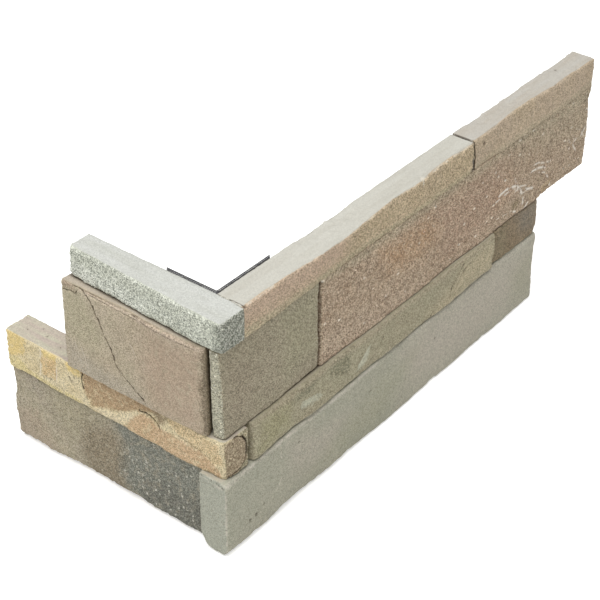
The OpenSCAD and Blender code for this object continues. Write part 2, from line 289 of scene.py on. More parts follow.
def carveStone(own):
    stone = {**anyStone, **own}
    stone["arm"], row = stone["node"].split("_")[:2]  # a stone's node is named for its arm and row
    foot, top = rowBeds[row]
    piece = blankOf(stone)
    fineFacets(piece, stone)
    places, normals = armCoordinates(piece, stone)
    seed = stone["seed"]
    coarse = cloud(places, stone["lumpSize"], 2, seed)
    medium = cloud(places, stone["grainSize"] * 3, 2, seed + 1)
    fine = cloud(places, stone["grainSize"], 2, seed + 2)
    drift = np.stack([medium, fine], axis=1)
    onFace = facing("face", normals)

    # beds and backs are sawn; what faces out is riven
    riven = np.maximum(-normals[:, 1], np.abs(normals[:, 0]))
    facesOut = smoothStep(0.35, 0.75, riven)
    inward = facesOut * (stone["lumps"] * (0.15 + 1.2 * coarse) + stone["roughness"] * (medium + fine))
    inward += carving["sawMarks"] * (1 - facesOut) * (0.5 + fine)

    # arrises worn and chipped, less so at the back and at joints, where a face may run on to its bed
    arris = arrisOf(piece, normals)
    for height in stone["flush"]:
        near = np.abs(places[:, 2] - height)
        arris *= smoothStep(0.5, 2.5, near)
        edge = (near < carving["flushBand"]) & (normals[:, 1] < -0.3)
        places[edge, 2] = height
        places[edge, 1] -= carving["flushOut"]
    for along in stone["jointEnds"]:
        atJoint = np.abs(places[:, 0] - along) < carving["jointBand"]
        riven[atJoint] = -normals[atJoint, 1]
        arris[atJoint] *= carving["jointWear"]
    bite = np.clip(0.25 + 1.3 * cloud(places, 6, 3, seed + 3) + 0.6 * fine, 0, 1.5)
    worn = arris * bite * (1 - 0.6 * smoothStep(panelThickness - 2.5, panelThickness - 0.8, places[:, 1]))
    inward += stone["wear"] * worn

    # corners broken off along a rough plane
    for at, way in stone["breaks"]:
        toward = np.array(way) / np.linalg.norm(way)
        beyond = (places - at) @ toward + 0.5 * medium
        cut = np.clip(beyond, 0, None)
        places -= cut[:, None] * toward
        worn = np.maximum(worn, 0.5 * smoothStep(0, 0.4, cut))

    # scoops, pits, flaked layers and cracks
    # the dark mark: painted shade in pits, cracks and joints, with brown dirt in cracks as well
    shadeAndDirt = np.zeros(len(places))
    for along, depth, height, radius, deep in stone["chips"]:
        away = np.linalg.norm(places - [along, depth, height], axis=1) / radius + 0.5 * medium
        scoop = np.clip(1 - away ** 2, 0, 1)
        inward += deep * scoop
        if depth < carving["freshDepth"]:
            worn = np.maximum(worn, 0.6 * scoop)
    for along, *depth, height, radius in stone["pits"]:
        depth = depth[0] if depth else faceDepthAt(places, normals, along, height)
        centre = places[np.argmin(np.linalg.norm(places - [along, depth, height], axis=1))]
        away = np.linalg.norm(places - centre, axis=1) / radius
        hole = np.clip(1.5 - away, 0, 1)
        inward += carving["pitDepth"] * hole
        shadeAndDirt = np.maximum(shadeAndDirt, 0.8 * hole)
    for flake in stone["flakes"]:
        ragged = places[:, viewOf["face"]] + carving["flakeRag"] * drift
        inward += flake.deep * onFace * insideOutline(ragged, flake.outline, flake.soft)
    for crack in stone["cracks"]:
        away = alongPath(places[:, viewOf[crack.side]] + carving["crackRag"] * drift, crack.path)
        width = crack.width * np.clip(0.85 + 0.9 * medium, 0.3, 1.6)
        groove = facing(crack.side, normals) * np.clip(1 - away / width, 0, 1)
        inward += crack.deep * groove
        shadeAndDirt = np.maximum(shadeAndDirt, crack.dirt * smoothStep(0.05, 0.7, groove))

    inward = np.maximum(inward, -carving["mostOutward"] * onFace)
    places -= normals * inward[:, None]
    places[:, 2] = np.clip(places[:, 2], foot, top)
    places[:, 1] = np.minimum(places[:, 1], panelThickness)
    setPlaces(piece, stone, places)

    # painted shade in the joints, where a neighbour covers a bed from a depth that is given at places along
    # the stone
    for side, line in stone["covered"].items():
        height = top if side == "top" else foot
        start = np.interp(places[:, 0], *zip(*line))
        atBed = smoothStep(0.7, 0.1, np.abs(places[:, 2] - height))
        buried = atBed * smoothStep(start, start + 0.8, places[:, 1])
        shadeAndDirt = np.maximum(shadeAndDirt, stone["jointShade"] * buried)

    # scratches and lines of painted highlight, and what else the material reads
    scratchedAndLit = np.zeros(len(places))
    for scratch in stone["scratches"]:
        away = alongPath(places[:, viewOf[scratch.side]] + carving["scratchRag"] * drift, scratch.path)
        mark = facing(scratch.side, normals) * np.clip(1.3 - away / scratch.width, 0, 1)
        broken = 1 if scratch.whole else smoothStep(-0.25, 0.1, medium)
        scratchedAndLit = np.maximum(scratchedAndLit, scratch.strength * mark * broken)
    addAttribute(piece, "sawn", 1 - smoothStep(0.2, 0.4, riven))
    endShare = smoothStep(0.55, 0.85, -normals[:, 0])
    endGrain = 1 + (stone["endGrain"] - 1) * smoothStep(0.4, 0.8, -normals[:, 0])
    grain = facesOut * endGrain + (1 - facesOut) * stone["sawnGrain"]
    # arrises that face sideways lose some of their pale colour: painted shade, as light falls from above
    onSide = 1 - smoothStep(0.45, 0.85, normals[:, 2])
    addAttribute(piece, "worn", worn * (1 - stone["sideWear"] * onSide))
    addAttribute(piece, "dark", shadeAndDirt)
    addAttribute(piece, "scratch", scratchedAndLit)
    for stain in stone["stains"]:
        ragged = places[:, viewOf[stain.side]] + carving["stainRag"] * drift
        values = sum(insideOutline(ragged, outline, stain.soft) for outline in stain.outlines)
        where = facesOut if stain.side == "face" else facing(stain.side, normals)
        addAttribute(piece, stain.name, stain.share * values * where)
        grain += (stain.grain - 1) * np.minimum(values, 1) * where
        if stain.side == "end":
            endShare = endShare * (1 - stain.share * np.minimum(values, 1))
    addAttribute(piece, "end", endShare)
    addAttribute(piece, "grain", grain)
    finishPiece(piece, stone, sandstone(stone))


# Materials

def addNode(tree, kind, settings=None, output=None, **inputs):
    # adds a node, sets and links it, and returns its named output or else its first live one; an input's name
    # has its spaces left out, and in0, in1 and so on stand for inputs that share a name
    node = tree.nodes.new("ShaderNode" + kind)
    for key, value in (settings or {}).items():
        setattr(node, key, value)
    for name, value in inputs.items():
        if name[2:].isdigit():
            socket = node.inputs[int(name[2:])]
        else:
            socket = next(s for s in node.inputs if s.enabled and s.name.replace(" ", "") == name)
        if isinstance(value, bpy.types.NodeSocket):
            tree.links.new(value, socket)
        else:
            socket.default_value = hexColour(value) if isinstance(value, str) else value
    return next((s for s in node.outputs if s.enabled and output in (None, s.name)), None)


def newMaterial(name):
    # an empty material, and what adds a node to it
    material = bpy.data.materials.new(name)
    material.use_nodes = True
    material.node_tree.nodes.clear()
    return material, partial(addNode, material.node_tree)


def sandstone(look):
    # riven sandstone, fully matt: each sand grain has its own tone, and sawn faces are paler and plainer
    material, add = newMaterial(look["name"] + "RivenSandstone")
    where = add("Mapping", Vector=add("TexCoord", output="Object"), Scale=(1000, 1000, 1000))  # in mm
    names = ["sawn", "end", "worn", "dark", "scratch", "grain", *(stain.name for stain in look["stains"])]
    marks = {name: add("Attribute", {"attribute_name": name}, "Fac") for name in names}
    product = {"operation": "MULTIPLY"}
    layers = []  # each with its share, its colour and how it blends with what lies below

    # the stone's own blotches, then smaller patches
    colour, blotches, patches = look["ground"]
    for size, low, high, share, shade in ((look["blotchSize"], 0.36, 0.64, 1, blotches),
                                          (look["blotchSize"] / 4, 0.42, 0.7, look["patchShare"], patches)):
        cloudy = add("TexNoise", Vector=where, Scale=1 / size, Detail=4, Roughness=0.55)
        share = add("MapRange", Value=cloudy, FromMin=low, FromMax=high, ToMax=share)
        layers.append((share, shade, "MIX"))

    # mineral stains at their places, broken up by spots of 3.5 mm, and flecks in cells of the spacing given
    spots = add("TexNoise", Vector=where, Scale=1 / 3.5, Detail=4, Roughness=0.55)
    broken = add("MapRange", Value=spots, FromMin=0.2, FromMax=0.5)
    for stain in look["stains"]:
        layers.append((add("Math", product, in0=marks[stain.name], in1=broken), stain.colour, "MIX"))
    layers.append((marks["end"], look["end"], "MIX"))
    for fleck in look["flecks"]:
        drawnOut = add("Mapping", Vector=where, Scale=fleck.streak)
        away = add("TexVoronoi", Vector=drawnOut, Scale=1 / fleck.spacing)
        radius = fleck.radius / fleck.spacing
        spot = add("MapRange", Value=away, FromMin=radius, FromMax=0.6 * radius, ToMax=fleck.share)
        draw = add("SeparateColor", output="Green", Color=away.node.outputs["Color"])
        kept = add("Math", {"operation": "LESS_THAN"}, in0=draw, in1=fleck.present)
        share = add("Math", product, in0=spot, in1=kept)
        if fleck.within:
            share = add("Math", product, in0=share, in1=marks[fleck.within])
        layers.append((share, fleck.colour, "MIX"))

    # sawn faces: pale stone dust, streaked along the saw's path
    sawPath = add("Mapping", Vector=where, Scale=(0.12, 1, 1) if look["arm"] == "long" else (1, 0.12, 1))
    streaks = add("TexNoise", Vector=sawPath, Scale=1 / 4, Detail=5, Roughness=0.6)
    share = add("MapRange", Value=streaks, FromMin=0.36, FromMax=0.64)
    dust, streaked = look["sawn"]
    sawn = add("Mix", {"data_type": "RGBA"}, Factor=share, A=dust, B=streaked)
    layers.append((add("MapRange", Value=marks["sawn"], FromMin=0.4, FromMax=0.6), sawn, "MIX"))

    # sand grains: real ones are 0.1 to 0.5 mm, and these are drawn about 0.5 mm wide so that they show; they
    # gather in loose clusters some 4 mm across
    domes = add("TexVoronoi", Vector=where, Scale=1 / look["grainWidth"])
    tone = add("SeparateColor", output="Red", Color=domes.node.outputs["Color"])
    clusters = add("TexNoise", Vector=where, Scale=1 / 4, Detail=2, Roughness=0.5)
    centred = add("Math", {"operation": "SUBTRACT"}, in0=tone, in1=0.5 + 0.5 * look["cluster"])
    centred = add("Math", {"operation": "MULTIPLY_ADD"}, in0=clusters, in1=look["cluster"], in2=centred)
    contrast = add("Math", product, in0=centred, in1=marks["grain"])
    low, high = 1 - look["grainDepth"], 1 + look["grainDepth"]
    shade = add("MapRange", Value=contrast, FromMin=-0.4, FromMax=0.4, ToMin=low, ToMax=high)
    layers.append((1.0, shade, "MULTIPLY"))
    for least, most, kind in ((-0.18, -0.4, "dark"), (0.18, 0.4, "light")):
        share = add("MapRange", Value=contrast, FromMin=least, FromMax=most, ToMax=look[kind + "Share"])
        layers.append((share, look[kind + "Speck"], "MIX"))

    # arrises and chips show paler fresh stone, with less of it on sideways arrises as painted shade;
    # scratches and lines of painted highlight are pale; and cracks, pits and joints get brown dirt and
    # painted shade
    worn = add("MapRange", Value=marks["worn"], FromMin=0.1, FromMax=0.6, ToMax=look["wornShare"])
    layers.append((worn, look["fresh"], "MIX"))
    layers.append((marks["scratch"], look["scratch"], "MIX"))
    layers.append((marks["dark"], look["dirt"], "MIX"))
    for share, over, blend in layers:
        colour = add("Mix", {"data_type": "RGBA", "blend_type": blend}, Factor=share, A=colour, B=over)

    # each grain also stands up as a small dome
    height = add("Math", product, in0=domes, in1=marks["grain"])
    bumps = add("Bump", {"invert": True}, Height=height, Strength=look["tooth"],
                Distance=look["domeHeight"] * mm)
    shader = add("BsdfPrincipled", BaseColor=colour, Normal=bumps, Roughness=look["roughSurface"],
                 IOR=look["ior"], SpecularIORLevel=look["specular"])
    add("OutputMaterial", Surface=shader)
    return material


# Short arm, top row: speckled grey strip, coarse grained and worn round

greyStrip = {
    "name": "greyStrip", "node": "short_row1_grey_strip", "slot": "speckled_grey_sandstone",
    "seed": 1, "lumps": 0.4, "lumpSize": 16, "roughness": 0.3, "grainSize": 1.2, "wear": 0.45,
    "sideWear": 0.7, "endGrain": 1.5, "covered": {"foot": [(0, -1.6), (103, -1.6)]}, "jointShade": 0.45,
    "chips": [(102, 2, 132, 2.5, 0.6), (-1, -3, 132, 3, 1)],
    "cracks": [crackAt(0.6, 0.4, [(0.5, 16.3), (9, 16.3)], side="top")],
    "stains": [
        # a paler band low on the front: painted light that evens out the shade there
        stainAt("paleFront", "#dfe1d6", 0.6, 4, [[(48, 141), (106, 141), (106, 126), (48, 126)]]),
        stainAt("darkEnd", "#7c7e71", 0.75, 2, [[(-4, 131), (1.5, 131), (1.5, 150), (-4, 150)]]),
    ],
    "flecks": [
        fleckOf("#55574c", 2, 0.65, 0.55, 0.85, within="end"),
        fleckOf("#cfd0c2", 2.4, 0.75, 0.5, 0.85, within="end"),
    ],
    "ground": ("#c9cbbd", "#c1c4b4", "#d3d5ca"), "blotchSize": 26, "end": "#8f9083",
    "sawn": ("#c7c8c2", "#bfc0b8"), "fresh": "#d9d9ce", "wornShare": 0.3, "darkSpeck": "#7e8578",
    "darkShare": 0.5, "lightSpeck": "#eaebe2", "lightShare": 0.4, "grainDepth": 0.55, "cluster": 0.1,
    "sawnGrain": 0.2, "tooth": 0.6,
}
carveStone(greyStrip)


# Short arm, second row: tan slab on a smooth bedding plane, with a long crack and thin ledges at its top

crackedSlab = {
    "name": "crackedSlab", "node": "short_row2_cracked_slab", "slot": "tan_sandstone",
    "seed": 2, "lumps": 0.35, "lumpSize": 30, "roughness": 0.12, "grainSize": 1.2,
    "covered": {"foot": [(9, -0.8), (105, -0.8)], "top": [(9, -3.5), (60, -1.2), (103, 1.2)]},
    "jointShade": 0.5,
    "cracks": [
        crackAt(0.45, 0.8, [(104, 125.6), (99, 126.5), (95.5, 126.2), (93.5, 129)], dirt=0.7),
        crackAt(0.62, 1.1, [(97, 131), (91.5, 130.8), (88.3, 129.4), (85, 126.2), (80.8, 119.2),
            (77.2, 111.4), (71.7, 101.2), (68.2, 92.7), (61.6, 86.8), (53.6, 81), (49, 78)], dirt=0.9),
        crackAt(0.35, 0.4, [(86, 129.6), (74, 129.2), (60, 128.6), (52, 128.9)], dirt=0.5),
        crackAt(0.35, 0.4, [(56, 130.2), (43, 128.8), (30, 128.6), (14, 129)], dirt=0.5),
    ],
    "flakes": [
        flakeAt(0.6, 0.3, [(93, 132), (93, 130.4), (76, 130), (52, 130.2), (36, 129.9), (12, 130.3),
            (12, 132)]),
        flakeAt(0.35, 0.3, [(87, 132), (87, 128.9), (73, 128.6), (60, 128.2), (52, 128.6), (52, 132)]),
        flakeAt(0.7, 0.5, [(104, 126), (97, 126.6), (94.5, 128.5), (95, 132), (104, 132)]),
        flakeAt(0.9, 0.6, [(6, 74), (11.6, 74), (11.2, 90), (12.4, 104), (11.4, 118), (12, 133), (6, 133)]),
    ],
    "stains": [
        stainAt("redChip", "#a58f7e", 0.7, 0.8, [[(104, 126.4), (97, 127), (94.5, 128.5), (95, 132),
            (104, 132)]]),
        stainAt("pinkLedge", "#b9aa9a", 0.75, 0.5, [[(93, 131), (93, 129.5), (75, 128.8), (52, 128.6),
            (30, 128.2), (10, 128.8), (10, 131)]]),
        stainAt("greyFoot", "#ada597", 0.6, 6, [[(104, 97), (94, 89), (60, 84), (45, 76), (104, 74)]]),
        stainAt("oliveSide", "#afa88d", 0.7, 6, [[(104, 126), (92, 128), (84, 118), (76, 104), (84, 96),
            (104, 100)]]),
        stainAt("pinkSide", "#b19a86", 0.65, 10, [[(46, 128), (9, 129), (9, 76), (42, 76), (52, 96)]],
            grain=0.7),
        # the rounded end by the corner: rough grain, with painted shade in dark brown
        stainAt("roughEnd", "#6f6350", 0.85, 0.9, [[(4, 74), (11, 74), (10.6, 90), (11.8, 104), (10.6, 118),
            (11.2, 127), (4, 129)]], grain=2),
    ],
    "scratches": [
        scratchAt(0.35, [(98, 96), (95, 86), (93, 80)], 0.4),
        scratchAt(0.3, [(95, 98), (91, 88), (89, 80)], 0.4),
        scratchAt(0.25, [(60, 116), (55, 108), (52, 102)], 0.4),
    ],
    "ground": ("#b8ae97", "#b2a48d", "#c0b3a0"), "blotchSize": 34, "end": "#7a6e5a",
    "sawn": ("#b5ab9c", "#aba090"), "fresh": "#bba995", "wornShare": 0.2, "darkSpeck": "#978970",
    "darkShare": 0.25, "lightSpeck": "#cdc1aa", "lightShare": 0.25, "grainDepth": 0.32, "cluster": 0.25,
    "tooth": 0.25,
}
carveStone(crackedSlab)


# Short arm, third row: banded ochre strip, golden at its far end and brown where a layer has come away

ochreStrip = {
    "name": "ochreStrip", "node": "short_row3_ochre_strip", "slot": "ochre_sandstone",
    "seed": 3, "lumps": 0.7, "lumpSize": 20, "roughness": 0.22, "grainSize": 1.4, "wear": 0.6,
    "endGrain": 2.4, "covered": {"foot": [(0, 1.2), (155, 1.2)]},
    "pits": [(107, 66, 0.8), (103.5, 67.5, 0.6), (105.5, 63.8, 0.6), (99.4, 66.6, 0.5), (122, 57.6, 0.6),
             (125.4, 57.4, 0.7), (128, 56, 0.5), (16, 73.8, 0.6), (133, 8, 75.5, 0.6), (120, 5, 75.5, 0.5),
             (111, 11, 75.5, 0.6), (146, 6, 75.5, 0.5), (139, 12, 75.5, 0.5)],
    "cracks": [
        crackAt(1.0, 1.4, [(7, 75.4), (12.4, 72.6), (15, 68.5), (15.8, 61), (14.6, 56), (11, 52.6),
            (0, 50.4)], side="end"),
        crackAt(0.5, 0.7, [(96.8, 75), (98, 67.2), (97.2, 62.4)]),
        crackAt(0.5, 0.9, [(57, 68), (51.9, 68.8), (47.7, 67.6), (43.7, 64.7), (41.7, 62.2)]),
        crackAt(0.35, 0.4, [(30, 65.4), (22, 64.2), (15.8, 62.4), (6, 57.7)], dirt=0.35),
    ],
    "flakes": [
        flakeAt(0.9, 0.5, [(97, 76), (97.3, 62.4), (94.7, 57.5), (92.1, 53.1), (87.4, 54.8), (79.8, 57.3),
            (73.2, 58.6), (65.3, 63), (55.4, 68.4), (51.9, 68.8), (47.7, 67.6), (43.7, 64.7), (37.8, 72.7),
            (36, 76)]),
        flakeAt(0.5, 0.6, [(40, 76), (38, 70), (28.5, 65), (15.8, 62.4), (6, 58), (0, 60), (-3, 76)]),
    ],
    "stains": [
        stainAt("golden", "#e2c987", 0.85, 1.4, [[(156, 76), (140.8, 76), (141.4, 66), (149.5, 60),
            (156, 58)], [(127.5, 76), (115.2, 76), (116.5, 70), (122, 71.5), (127.5, 70)], [(108.5, 76),
            (97, 76), (97.6, 70), (103, 69), (108, 71)]], grain=0.6),
        stainAt("amber", "#d6b785", 0.8, 0.8, [[(127.8, 71), (115.6, 72), (117, 59), (128.8, 57)]]),
        stainAt("yellowFoot", "#dccc93", 0.8, 1.2, [[(156, 58), (146, 60), (140, 55), (118, 54), (98, 53.5),
            (98, 50), (156, 50)]]),
        stainAt("brown", "#af9372", 0.95, 0.5, [[(96.8, 75.5), (97.3, 62.4), (94.7, 57.5), (92.1, 53.4),
            (87.4, 55), (79.8, 57.5), (73.2, 58.8), (65.3, 63.2), (55.4, 68.6), (48, 70), (38.5, 76)]]),
        stainAt("cream", "#dfd1b1", 0.85, 0.7, [[(90, 52), (87.5, 54.3), (73.3, 58.2), (65.3, 62.6),
            (56.2, 67.6), (61.9, 57), (71.5, 52), (83, 50)]], grain=0.9),
        stainAt("tan", "#c2a27f", 0.85, 1.0, [[(56, 67.4), (47.7, 67.2), (43, 63.6), (30, 64.6), (16, 62),
            (6, 57.4), (2, 54), (2, 50), (70, 50)]], grain=0.9),
        stainAt("honey", "#dac096", 0.75, 1.0, [[(38, 71), (28.5, 65.4), (15.8, 62.8), (6, 58.2), (1, 60),
            (2, 73), (20, 74), (36, 73)]], grain=1.5),
        stainAt("brownPatch", "#96836a", 0.8, 0.9, [[(48.7, 75), (38.5, 74), (41.5, 65), (47, 69)]]),
        stainAt("paleNose", "#cdbf9f", 0.7, 0.8, [[(1.5, 76), (0.5, 62), (1.5, 50), (-3, 50), (-3, 76)]]),
        stainAt("oliveRim", "#959078", 0.95, 0.4, [[(7, 76), (12.6, 72.8), (15.2, 68.5), (16, 61), (14.8, 56),
            (11.2, 52.4), (4, 50), (18, 50), (18, 76)]], side="end"),
    ],
    "scratches": [
        scratchAt(0.45, [(115.3, 75), (116.6, 66), (117.2, 57)]),
        scratchAt(0.35, [(128.4, 74), (129.6, 62), (130.4, 56)]),
    ],
    "flecks": [
        fleckOf("#574a36", 2.2, 0.75, 0.55, 0.8, within="end"),
        fleckOf("#d6c8a8", 2.4, 0.75, 0.5, 0.8, within="end"),
    ],
    "ground": ("#dacdac", "#d6c59c", "#dfd4b7"), "patchShare": 0.6, "blotchSize": 22, "end": "#9c8b73",
    "sawn": ("#c1bda8", "#b9aca0"), "fresh": "#cfc3a0", "wornShare": 0.35, "darkSpeck": "#94815f",
    "lightSpeck": "#e0d6bb", "grainDepth": 0.34, "sawnGrain": 0.35, "tooth": 0.3,
}
carveStone(ochreStrip)


# Short arm, bottom row: mottled slab, beige at its far end and dark grey-green with pale flecks at the corner

mottledSlab = {
    "name": "mottledSlab", "node": "short_row4_mottled_slab", "slot": "mottled_sandstone",
    "seed": 4, "lumps": 0.6, "lumpSize": 24, "roughness": 0.35, "grainSize": 1.6,
    "covered": {"top": [(0, 1.2), (155, 1.2)]},
    "chips": [(110, 0.5, 0, 4, 0.7), (64, 0.5, 3, 4, 0.6)],
    "stains": [
        stainAt("pinkFoot", "#b09e8b", 0.6, 5, [[(156, 22), (138, 26), (124, 8), (128, -2), (156, -2)]]),
        stainAt("oliveTop", "#a89f85", 0.7, 8, [[(128, 52), (84, 52), (92, 26), (112, 18), (124, 30)]]),
        stainAt("brownSpecks", "#887a63", 0.8, 6, [[(100, 36), (80, 42), (66, 32), (70, -2), (98, -2),
            (104, 14)]], grain=1.5),
        stainAt("greenGrey", "#7b7f77", 0.9, 7, [[(82, 52), (14, 52), (14, -2), (62, -2), (74, 16),
            (72, 36)]], grain=2.2),
        stainAt("darkFoot", "#6a6a63", 0.75, 6, [[(60, 16), (40, 26), (22, 24), (14, 30), (14, -2),
            (60, -2)]]),
    ],
    "flecks": [
        fleckOf("#d3d0c4", 3.2, 0.95, 0.45, 0.9, within="greenGrey"),
        fleckOf("#484742", 3.4, 0.9, 0.4, 0.8, within="greenGrey"),
        fleckOf("#6e6350", 5, 1.2, 0.4, 0.6, within="brownSpecks"),
    ],
    "ground": ("#b6ab94", "#ada290", "#a59e85"), "patchShare": 0.6, "blotchSize": 22, "end": "#7a7a70",
    "sawn": ("#aaa497", "#a09a8c"), "fresh": "#a8a08e", "wornShare": 0.25, "darkSpeck": "#6f6b5c",
    "darkShare": 0.35, "lightSpeck": "#bdb9aa", "grainWidth": 0.55, "grainDepth": 0.3, "tooth": 0.5,
}
carveStone(mottledSlab)


# Long arm, top row: two coping strips with pale sawn tops and speckled brown fronts

nearCoping = {
    "name": "nearCoping", "node": "long_row1_near_coping", "slot": "coping_sandstone",
    "seed": 5, "lumps": 0.4, "lumpSize": 18, "roughness": 0.3, "grainSize": 1.3, "sideWear": 0.7,
    "flush": [131.5], "jointEnds": [16.5, 220.5],
    "chips": [(169, -0.5, 150, 3.2, 1.1), (83, 17, 150, 9, 0.6), (95, 17, 150, 11, 0.7),
              (110, 17, 150, 11, 0.9), (219, -1, 131.5, 3, 0.8)],
    "pits": [(17.2, -0.6, 149.6, 0.9)],
    "cracks": [
        crackAt(1.5, 1.0, [(220.4, 151), (220.3, 142), (219.8, 131)]),
        crackAt(0.4, 0.1, [(220.5, -3), (220.5, 17)], side="top", dirt=0.6),
        crackAt(0.5, 0.3, [(16.6, 0.5), (16.6, 8.5)], side="top"),
    ],
    "stains": [
        stainAt("pinkStart", "#c5ad98", 0.8, 8, [[(14, 152), (98, 152), (94, 138), (50, 137), (14, 140)]],
            grain=0.75),
        stainAt("oliveRun", "#bfae8e", 0.75, 9, [[(100, 152), (222, 152), (222, 130), (100, 134)]],
            grain=1.25),
        stainAt("greenFoot", "#b3aa8d", 0.75, 1.8, [[(14, 137), (48, 135.6), (95, 136), (150, 134.4),
            (222, 134), (222, 130), (14, 130)]]),
        stainAt("whiteChip", "#ddd8ca", 0.9, 0.6, [[(170.4, 151), (169, 150.4), (167.6, 145.8),
            (168.4, 145.8), (170.6, 149)]]),
    ],
    "ground": ("#c8b49b", "#c2ad90", "#cfbca5"), "blotchSize": 20, "end": "#b9b6aa",
    "sawn": ("#c6c4ba", "#bebbb0"), "fresh": "#e4dccb", "wornShare": 0.8, "darkSpeck": "#958367",
    "lightSpeck": "#e0d0b6", "lightShare": 0.25, "grainDepth": 0.42, "cluster": 0.2, "sawnGrain": 0.16,
    "tooth": 0.45,
}
carveStone(nearCoping)

farCoping = {
    "name": "farCoping", "node": "long_row1_far_coping", "slot": "coping_sandstone",
    "seed": 6, "lumps": 0.4, "lumpSize": 22, "roughness": 0.2, "grainSize": 1.3, "wear": 0.45,
    "sideWear": 0.7, "flush": [131.5], "jointEnds": [221.7],
    "chips": [(244, 17, 150, 11, 0.7), (262, 17, 150, 12, 0.5), (281, 17, 150, 14, 0.5),
              (333, 17, 150, 16, 0.6)],
    "pits": [(231.5, 144.5, 1.0), (327, 12, 150, 0.7)],
    "cracks": [
        # a broad band with no groove on the end face inside the joint: painted shadow
        crackAt(14, 0, [(9, 131), (9, 150)], side="end", dirt=0.75),
        crackAt(0.8, 0.5, [(221.5, 151), (221.6, 142), (221.4, 131)]),
    ],
    "stains": [
        stainAt("greenFoot", "#b7ac92", 0.6, 2, [[(220, 135), (280, 134.4), (356, 135), (356, 130),
            (220, 130)]]),
    ],
    "ground": ("#c2af98", "#bba98e", "#c6b5a1"), "blotchSize": 26, "end": "#a59c86",
    "sawn": ("#bebab1", "#b8b1a5"), "fresh": "#cdc2af", "wornShare": 0.5, "darkSpeck": "#99886f",
    "darkShare": 0.25, "lightSpeck": "#d3c4ac", "lightShare": 0.25, "grainDepth": 0.36, "cluster": 0.2,
    "sawnGrain": 0.2, "tooth": 0.35,
}
carveStone(farCoping)


# Long arm, second row: olive slab that laps the corner, and the long pink slab

cornerSlab = {
    "name": "cornerSlab", "node": "long_row2_corner_slab", "slot": "olive_sandstone",
    "seed": 7, "lumps": 0.4, "lumpSize": 26, "roughness": 0.22, "grainSize": 1.1, "endGrain": 2,
    "covered": {"foot": [(0, -1.8), (80, -1.8)]}, "flush": [131.5],
    "stains": [
        stainAt("brownHeart", "#a19581", 0.7, 9, [[(2, 120), (16, 122), (24, 104), (20, 84), (4, 84)]]),
        stainAt("oliveSide", "#a7a287", 0.7, 10, [[(44, 130), (79, 130), (79, 92), (50, 84)]]),
    ],
    "flecks": [
        fleckOf("#7f7c6b", 2, 0.7, 0.6, 0.9, within="end"),
        fleckOf("#f2f0e2", 2.2, 0.75, 0.55, 0.9, within="end"),
    ],
    "ground": ("#a69c87", "#9e957f", "#aca48d"), "blotchSize": 24, "end": "#bcb9a5",
    "sawn": ("#aaa491", "#a09a86"), "fresh": "#aea892", "wornShare": 0.3, "darkSpeck": "#817964",
    "lightSpeck": "#c1b9a2", "grainDepth": 0.42, "cluster": 0.15, "tooth": 0.45,
}
carveStone(cornerSlab)

longScratch = [(252.1, 100), (258.6, 101.1), (261.9, 100.9), (271.3, 98.6), (275.5, 93.5), (279.7, 89),
               (286, 88.6), (293, 86.4)]

